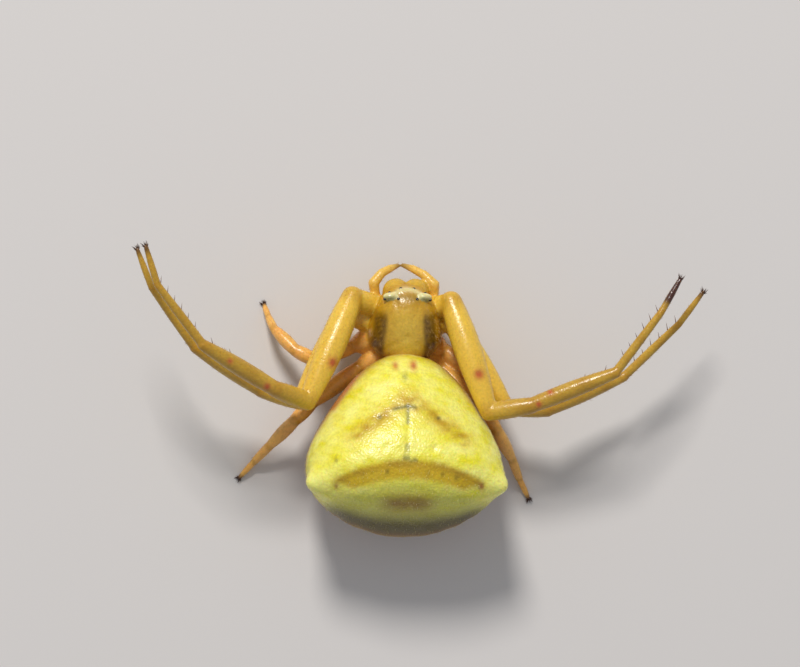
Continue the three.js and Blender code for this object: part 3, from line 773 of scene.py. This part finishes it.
# Coxa root, hip joint, then azimuth and elevation of each piece; a last piece with no
# elevation reaches down to the floor.
LEGS = {
    "left_1": ((0.8, -1.45, 1.3), (1.82, -1.84, 2.05),
               ((67, 15), (-20.5, 34), (-30, 20.5), (-51.5, 10), (-72, 5))),
    "left_2": ((0.85, -0.98, 1.15), (1.99, -1.34, 1.3),
               ((63.1, 19), (-16.1, 0), (-31.2, 22), (-53.1, 17), (-68.2, 2))),
    "left_3": ((0.8, -0.6, 1.08), (1.72, -0.17, 1.0),
               ((16.9, 16), (-25.7, -8), (-45.1, -24), (-67, -50), (-71.4, None))),
    "left_4": ((0.65, -0.02, 1.08), (1.5, 0.53, 1.0),
               ((38, 9), (46, 8), (48, -30), (49, -33), (49, None))),
    "right_1": ((-0.8, -1.4, 1.3), (-1.5, -1.74, 2.05),
                ((108.9, 12), (-169.5, 13), (-157.4, 7), (-125.9, 3), (-119.7, -5))),
    "right_2": ((-0.85, -0.93, 1.15), (-1.53, -1.2, 1.3),
                ((122.7, 11.3), (178.3, 7), (-156, -4), (-134.5, 10), (-125.4, 6))),
    "right_3": ((-0.7, -0.46, 1.08), (-1.4, -0.13, 1.0),
                ((140, 0), (-100, -10), (-62, -20), (-65, -35), (-56, None))),
    "right_4": ((-0.6, 0.0, 1.08), (-1.3, 0.48, 1.0),
                ((135, 10), (126, 5), (121.5, -30), (115, -34), (117, None))),
}
FEMUR_FULLNESS = 1.1
FEMUR_BOW = 0.12
HIP_NARROWING = 0.72
TUFT_HEIGHT = 0.075
SPOT_STRENGTH = 1.4
LEG_OLIVE = linear(180, 136, 32)
LEG_ORANGE = linear(240, 176, 92)
MAROON = linear(74, 36, 28)
PALP_AMBER = linear(234, 190, 84)


def leg_joints(root, hip, turns_list, lengths):
    joints = [np.array(root), np.array(hip)]
    for (azimuth, elevation), length in zip(turns_list, lengths):
        drop = (TUFT_HEIGHT - joints[-1][2]) / length
        rise = np.arcsin(drop) if elevation is None else radians(elevation)
        way = radians(azimuth)
        ahead = np.array([cos(rise) * cos(way), cos(rise) * sin(way), sin(rise)])
        joints.append(joints[-1] + length * ahead)
    return joints


def swell(radius, start, end, peak=0.45):
    def radius_at(share):
        share = np.asarray(share, dtype=float)
        reach = np.where(share < peak, share / peak, (1 - share) / (1 - peak))
        nearest = np.where(share < peak, start, end)
        return radius * (nearest + (1 - nearest) * np.sin(reach * pi / 2))
    return radius_at


# Leg, piece, share along it, millimetres off its middle line and width of each rust spot
RUST_SPOTS = (("left_1", "femur", 0.6, 0.24, 0.17), ("right_1", "femur", 0.66, -0.06, 0.16),
              ("left_1", "tibia", 0.1, 0.08, 0.11), ("left_1", "tibia", 0.63, 0.0, 0.08),
              ("right_1", "tibia", 0.07, 0.05, 0.1), ("right_1", "tibia", 0.24, -0.2, 0.09))


def spot_places(name, piece, start, end):
    along = (end - start) / np.linalg.norm(end - start)
    inwards = np.cross(along, (0, 0, 1)) * (1 if name.startswith("left") else -1)
    inwards /= np.linalg.norm(inwards)
    for leg, part, share, off, width in RUST_SPOTS:
        if (leg, part) == (name, piece):
            yield start + (end - start) * share - inwards * off, width


def leg_tint(base, tip, name, piece, spots):
    def tint_at(share, rings):
        tint = mix(base, tip, share)
        tint = mix(tint, PALE_AMBER, 0.25 + 0.25 * ripple(rings, 0.9, 31))
        tint = mix(tint, DEEP_AMBER, 0.45 * (smooth(share, 0.12, 0.0) + smooth(share, 0.88, 1.0)))
        if name == "right_1" and piece == "tarsus":
            tint = mix(tint, MAROON, smooth(share, 0.15, 0.4))
        elif piece == "tarsus":
            tint = mix(tint, MAROON, 0.8 * smooth(share, 0.7, 1.0))
        for spot, width in spots:
            away = np.hypot(rings[..., 0] - spot[0], rings[..., 1] - spot[1])
            above = smooth(rings[..., 2] - spot[2], -0.05, 0.1)
            rust = above * SPOT_STRENGTH * bell(away, width) * (0.85 + 0.3 * ripple(rings, 0.12, 33))
            tint = mix(tint, RUST, rust)
        return tint
    return tint_at


leg_plan = {}
for name, (root, hip, turns_list) in LEGS.items():
    pair = PAIRS[int(name[-1])]
    radii = pair["radii"]
    front = int(name[-1]) < 3
    joints = leg_joints(root, hip, turns_list, pair["lengths"])
    leg_plan[name] = joints
    near, far = (LEG_AMBER, LEG_OLIVE) if front else (LEG_ORANGE, LEG_ORANGE)
    hip_radius = radii[0] * HIP_NARROWING
    coxa = pair["coxa"]
    pieces = (("coxa", lambda share, c=coxa, h=hip_radius: c + (h - c) * np.asarray(share) ** 4, 0.0),
              ("femur", swell(radii[0] * FEMUR_FULLNESS, 0.78, 0.62, 0.4), FEMUR_BOW),
              ("patella", swell(radii[1], 0.9, 0.85), 0.0),
              ("tibia", swell(radii[2], 0.88, 0.66, 0.4), 0.0),
              ("metatarsus", swell(radii[3], 1, 0.8, 0.3), 0.0),
              ("tarsus", swell(radii[4], 1, 0.66, 0.3), 0.0))
    for number, (piece, radius_at, bow) in enumerate(pieces):
        start, end = joints[number], joints[number + 1]
        spots = list(spot_places(name, piece, start, end))
        shade = {"coxa": (near, near), "femur": (near, near), "patella": (mix(near, far, 0.6), far)}
        base, tip = shade.get(piece, (far, far))
        body_forms.append(limb_form(f"{piece}_form", start, end, radius_at,
                                    leg_tint(base, tip, name, piece, spots), bow))

PALPS = (
    ((1.0, -1.95, 1.3), (1.07, -2.33, 1.46), (0.8, -2.67, 1.36), (0.5, -2.83, 1.15), (0.22, -2.94, 0.98)),
    ((-0.98, -1.95, 1.3), (-0.97, -2.31, 1.46), (-0.64, -2.63, 1.36), (-0.28, -2.83, 1.15),
     (0.05, -2.95, 0.98)),
)
PALP_RADII = (0.17, 0.185, 0.155, 0.135, 0.08)
for joints in PALPS:
    for number in range(4):
        thick, thin = PALP_RADII[number], PALP_RADII[number + 1]
        dark = 0.6 if number == 3 else 0.0
        body_forms.append(limb_form(
            "palp_form", joints[number], joints[number + 1],
            lambda share, a=thick, b=thin: a + (b - a) * np.asarray(share),
            lambda share, rings, d=dark: mix(PALP_AMBER, MAROON, d * share), around=20, step=0.04))

body_skin = one_skin("body_skin", body_forms, cell=0.047, passes=3)
body_material = cuticle_material(
    "amber_cuticle", bump=0.5, glow=0.4, glow_reach=0.12,
    cuticle={"Grain Size": 0.09, "Grain Strength": 0.1, "Pit Size": 0.06, "Pit Depth": 0.4, "Gloss": 0.22})
flesh = ["carapace", "sternum", "pedicel", "mouthparts", "chelicera_left", "chelicera_right"]
flesh += [f"palp_{side}_{part}" for side in ("left", "right") for part in ("inner", "outer")]
flesh += [f"leg_{name}_{part}" for name in LEGS for part in ("coxa", "femur", "tibia", "foot")]
dress(body_skin, body_material, flesh)


# Eyes
# Eight small black glassy domes in two curved rows, set into the carapace.
SIDE_EYE_SHARE = 0.86


def grainy_material(name, dark, pale, roughness, grain=0.06, coat=0.0):
    """A hard glossy stuff whose colour wanders between two shades."""
    material, tree, shader = new_material(name)
    place = add_node(tree, "ShaderNodeTexCoord").outputs["Object"]
    noise = add_node(tree, "ShaderNodeTexNoise", {"Vector": place, "Scale": 1 / (grain * MM)})
    ramp = add_node(tree, "ShaderNodeValToRGB", {"Fac": noise.outputs["Fac"]})
    for element, colour in zip(ramp.color_ramp.elements, (dark, pale)):
        element.color = (*colour, 1)
    set_inputs(shader, {"Base Color": ramp.outputs["Color"], "Roughness": roughness, "Coat Weight": coat})
    return material


eye_material = grainy_material("black_glassy_eye", (0.004, 0.003, 0.003), (0.02, 0.012, 0.008), 0.06,
                               grain=0.05, coat=1.0)
for node in [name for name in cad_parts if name.startswith("eye_")]:
    low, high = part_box(node)
    middle = ((Vector(low) + Vector(high)) / 2 - Vector(WAIST)) / MM
    radius = (high[0] - low[0]) / 2 / MM * (SIDE_EYE_SHARE if "side" in node else 1.0)
    eye = ball_form(node + "_lens", middle, (radius,) * 3, np.zeros(3), 16, 24)
    dress(lone_piece(eye), eye_material, [node])


# Fangs
# Two short dark horn hooks, one at the end of each jaw, folded inwards.
FANG_ROOT = np.array([0.16, -2.36, 0.74])
FANG_WAY = np.array([-0.35, 0.1, -0.55])
FANG_LENGTH = 0.3
FANG_RADIUS = 0.055
FANG_TAPER = 0.85
DARK_HORN = grainy_material("dark_horn", linear(36, 18, 12), linear(84, 46, 30), 0.3)
for side_name, side in (("left", 1), ("right", -1)):
    root = FANG_ROOT * (side, 1, 1)
    reach = FANG_WAY * (side, 1, 1) / np.linalg.norm(FANG_WAY) * FANG_LENGTH
    hook = limb_form(f"fang_hook_{side_name}", root, root + reach,
                     lambda share: FANG_RADIUS * (1 - FANG_TAPER * np.asarray(share)),
                     plain_tint(np.zeros(3)), around=16, step=0.03)
    dress(lone_piece(hook), DARK_HORN, [f"fang_{side_name}"])


# Bristles
# Spines, claws, claw tufts and short setae are all tapered horn rods. One set of nodes grows
# them from points that carry the way they reach and their place on the skin's unwrap.
PATCH_SIZE = 0.003
TIP_THICKNESS = 0.1


def bristle_nodes():
    """A tapered, bent rod on every point, along the way that the point carries."""
    tree = bpy.data.node_groups.new("bristles", "GeometryNodeTree")
    face = tree.interface
    for kind, names in (("Geometry", ["Points"]), ("Float", ["Thickness", "Bend", "Shortest", "Longest"]),
                        ("Int", ["Sides", "Seed"]), ("Material", ["Material"])):
        for name in names:
            face.new_socket(name, in_out="INPUT", socket_type="NodeSocket" + kind)
    face.new_socket("Bristles", in_out="OUTPUT", socket_type="NodeSocketGeometry")
    given = add_node(tree, "NodeGroupInput").outputs

    def carried(name):
        node = add_node(tree, "GeometryNodeInputNamedAttribute", {"Name": name}, data_type="FLOAT_VECTOR")
        return node.outputs["Attribute"]

    def stored(geometry, name, value):
        node = add_node(tree, "GeometryNodeStoreNamedAttribute", data_type="FLOAT2", domain="CORNER")
        set_inputs(node, {"Geometry": geometry, "Name": name, "Value": value})
        return node.outputs["Geometry"]

    rod = add_node(tree, "GeometryNodeMeshCone", {
        "Vertices": given["Sides"], "Side Segments": 3, "Depth": 1.0,
        "Radius Top": TIP_THICKNESS, "Radius Bottom": 1.0})
    patched = stored(rod.outputs["Mesh"], "patch", rod.outputs["UV Map"])
    place = add_node(tree, "GeometryNodeInputPosition").outputs[0]
    height = add_node(tree, "ShaderNodeSeparateXYZ", {0: place}).outputs["Z"]
    lean = math_node(tree, "MULTIPLY", math_node(tree, "MULTIPLY", height, height), given["Bend"])
    shift = add_node(tree, "ShaderNodeCombineXYZ", {"X": lean}).outputs[0]
    bent = add_node(tree, "GeometryNodeSetPosition", {"Geometry": patched, "Offset": shift})

    reach = carried("reach")
    turned = add_node(tree, "FunctionNodeAlignRotationToVector", {"Vector": reach}, axis="Z")
    length = add_node(tree, "ShaderNodeVectorMath", {0: reach}, operation="LENGTH").outputs["Value"]
    chance = add_node(tree, "FunctionNodeRandomValue", data_type="FLOAT")
    set_inputs(chance, {2: given["Shortest"], 3: given["Longest"], "Seed": given["Seed"]})
    size = add_node(tree, "ShaderNodeCombineXYZ", {
        "X": given["Thickness"], "Y": given["Thickness"],
        "Z": math_node(tree, "MULTIPLY", length, chance.outputs[1])})
    roots = add_node(tree, "GeometryNodeMeshToPoints", {"Mesh": given["Points"]})
    grown = add_node(tree, "GeometryNodeInstanceOnPoints", {
        "Points": roots.outputs["Points"], "Instance": bent.outputs["Geometry"],
        "Rotation": turned.outputs["Rotation"], "Scale": size.outputs[0]})
    real = add_node(tree, "GeometryNodeRealizeInstances", {"Geometry": grown.outputs["Instances"]})

    small = add_node(tree, "ShaderNodeVectorMath", operation="MULTIPLY_ADD")
    set_inputs(small, {0: carried("patch"), 1: (PATCH_SIZE, PATCH_SIZE, 0), 2: carried("unwrap")})
    unwrapped = stored(real.outputs["Geometry"], "OFBake", small.outputs[0])
    dressed = add_node(tree, "GeometryNodeSetMaterial", {
        "Geometry": unwrapped, "Material": given["Material"]})
    add_node(tree, "NodeGroupOutput", {"Bristles": dressed.outputs["Geometry"]})
    return tree


BRISTLES = bristle_nodes()


def grow(name, roots, reaches, unwrap, slot, **inputs):
    """A piece of bristles from roots in metres, each reaching along a vector in metres."""
    points = bpy.data.meshes.new(name)
    points.from_pydata(np.asarray(roots).tolist(), [], [])
    for label, values in (("reach", reaches), ("unwrap", unwrap)):
        values = np.asarray(values, dtype=float).ravel()
        points.attributes.new(label, "FLOAT_VECTOR", "POINT").data.foreach_set("vector", values)
    piece = bpy.data.objects.new(name, points)
    bpy.context.scene.collection.objects.link(piece)
    growth = piece.modifiers.new("bristles", "NODES")
    growth.node_group = BRISTLES
    sockets = {item.name: item.identifier for item in BRISTLES.interface.items_tree
               if item.in_out == "INPUT"}
    for label, value in inputs.items():
        growth[sockets[label]] = value
    mesh = bpy.data.meshes.new_from_object(piece.evaluated_get(bpy.context.evaluated_depsgraph_get()))
    mesh.name = name
    piece.modifiers.clear()
    piece.data = mesh
    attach(piece, "root")
    return piece


def skin_unwrap(skin, roots):
    """The unwrap places of the skin's points nearest to the roots."""
    places = point_values(skin.data, "place", 3)
    tree = KDTree(len(places))
    for number, place in enumerate(places):
        tree.insert(place, number)
    tree.balance()
    nearest = [tree.find(root)[1] for root in roots]
    return point_values(skin.data, "unwrap", 3)[nearest]


# Spines
# Stout dark-tipped spines in two rows under the tibia and metatarsus of each front leg, leaning
# to its tip. She closes them over her prey.
SPINE_LENGTH = 0.25
SPINE_RADIUS = 0.022
SPINES_PER_ROW = 6
ROWS_AHEAD = (1.0, 0.15)
SPINE_DROP = 0.45
SPINE_LEAN = 0.8
SPINE_SINK = 0.06
SPINE_HORN = grainy_material("spine_horn", linear(70, 38, 20), linear(120, 72, 36), 0.35)
spine_roots, spine_reaches = [], []
for name, joints in leg_plan.items():
    if int(name[-1]) > 2:
        continue
    radii = PAIRS[int(name[-1])]["radii"]
    for start, end, radius, count, first, last in (
            (joints[3], joints[4], radii[2] * 0.85, 2, 0.6, 0.85),
            (joints[4], joints[5], radii[3], SPINES_PER_ROW, 0.2, 0.95)):
        along = (end - start) / np.linalg.norm(end - start)
        ahead = np.cross(along, (0, 0, 1))
        ahead *= -np.sign(ahead[1]) / np.linalg.norm(ahead)
        for step in np.linspace(first, last, count):
            for forward in ROWS_AHEAD:
                out = ahead * forward + (0, 0, -SPINE_DROP)
                out = out / np.linalg.norm(out) + along * SPINE_LEAN
                out /= np.linalg.norm(out)
                spine_roots.append(start + (end - start) * step + out * (radius - SPINE_SINK))
                spine_reaches.append(out * (SPINE_LENGTH + SPINE_SINK))
spine_roots = metres(spine_roots)
grow("leg_spines", spine_roots, np.array(spine_reaches) * MM, skin_unwrap(body_skin, spine_roots), "claw",
     Thickness=SPINE_RADIUS * MM, Bend=1.0, Sides=8, Seed=5, Shortest=0.75, Longest=1.1, Material=SPINE_HORN)


# Claws and their tufts
# Two dark curved claws at the tip of every leg, in a small brush of blunt dark hairs.
CLAW_LENGTH = 0.2
CLAW_RADIUS = 0.03
CLAW_SPREAD = 0.35
CLAW_DROP = 0.25
CLAW_ASIDE = 0.045
TUFT_HAIRS = 34
TUFT_RADIUS = 0.05
TUFT_SPREAD = 0.75
TUFT_LENGTHS = (0.09, 0.15)
TUFT_HAIR_RADIUS = 0.009
LOWEST_TUFT_TIP = 0.04
claw_roots, claw_reaches, tuft_roots, tuft_reaches = [], [], [], []
chance = np.random.default_rng(17)
for name, joints in leg_plan.items():
    tip = joints[6]
    along = (joints[6] - joints[5]) / np.linalg.norm(joints[6] - joints[5])
    across = np.cross(along, (0, 0, 1))
    across /= np.linalg.norm(across)
    for hand in (1, -1):
        reach = along + across * hand * CLAW_SPREAD - (0, 0, CLAW_DROP)
        reach *= CLAW_LENGTH / np.linalg.norm(reach)
        reach[2] = max(reach[2], CLAW_RADIUS - tip[2])
        claw_roots.append(tip + across * hand * CLAW_ASIDE)
        claw_reaches.append(reach)
    for _ in range(TUFT_HAIRS):
        aside = chance.normal(size=3)
        aside /= np.linalg.norm(aside)
        reach = along + aside * TUFT_SPREAD
        reach = reach / np.linalg.norm(reach) * chance.uniform(*TUFT_LENGTHS)
        root = tip + aside * TUFT_RADIUS
        reach[2] = max(reach[2], LOWEST_TUFT_TIP - root[2])
        tuft_roots.append(root)
        tuft_reaches.append(reach)
claw_roots, tuft_roots = metres(claw_roots), metres(tuft_roots)
grow("claws", claw_roots, np.array(claw_reaches) * MM, skin_unwrap(body_skin, claw_roots), "claw",
     Thickness=CLAW_RADIUS * MM, Bend=1.5, Sides=10, Seed=2, Shortest=0.95, Longest=1.05, Material=DARK_HORN)
grow("claw_tufts", tuft_roots, np.array(tuft_reaches) * MM, skin_unwrap(body_skin, tuft_roots), "claw",
     Thickness=TUFT_HAIR_RADIUS * MM, Bend=2.0, Sides=4, Seed=3, Shortest=0.8, Longest=1.2,
     Material=DARK_HORN)


# Setae
# Short soft hairs all over her, lying towards the tips of the limbs and to the rear.
LOWEST_ROOT = 0.15
SETA_DISORDER = 0.15
PALE_BRISTLE = grainy_material("pale_bristle", linear(206, 190, 110), linear(240, 230, 170), 0.5)
AMBER_BRISTLE = grainy_material("amber_bristle", linear(150, 104, 48), linear(206, 168, 96), 0.45)


def setae(name, skin, slot, material, *, count, length, thickness, stand, seed):
    chance = np.random.default_rng(seed)
    places = point_values(skin.data, "place", 3)
    normals = np.zeros(len(places) * 3)
    skin.data.vertices.foreach_get("normal", normals)
    normals = normals.reshape(-1, 3)
    picked = chance.choice(len(places), count, replace=False)
    picked = picked[places[picked, 2] > LOWEST_ROOT * MM]
    ways = point_values(skin.data, "lie", 3)[picked]
    reach = normals[picked] * stand + ways + chance.normal(size=(len(picked), 3)) * SETA_DISORDER
    reach /= np.linalg.norm(reach, axis=1, keepdims=True)
    roots = places[picked] - normals[picked] * thickness * MM
    unwrap = point_values(skin.data, "unwrap", 3)[picked]
    grow(name, roots, reach * length * MM, unwrap, slot, Thickness=thickness * MM, Bend=1.5,
         Sides=3, Seed=seed, Shortest=0.6, Longest=1.3, Material=material)


setae("body_setae", body_skin, "leg_skin", AMBER_BRISTLE,
      count=5200, length=0.1, thickness=0.0045, stand=0.7, seed=41)
setae("abdomen_setae", abdomen_skin, "abdomen_skin", PALE_BRISTLE,
      count=2600, length=0.09, thickness=0.005, stand=0.8, seed=42)
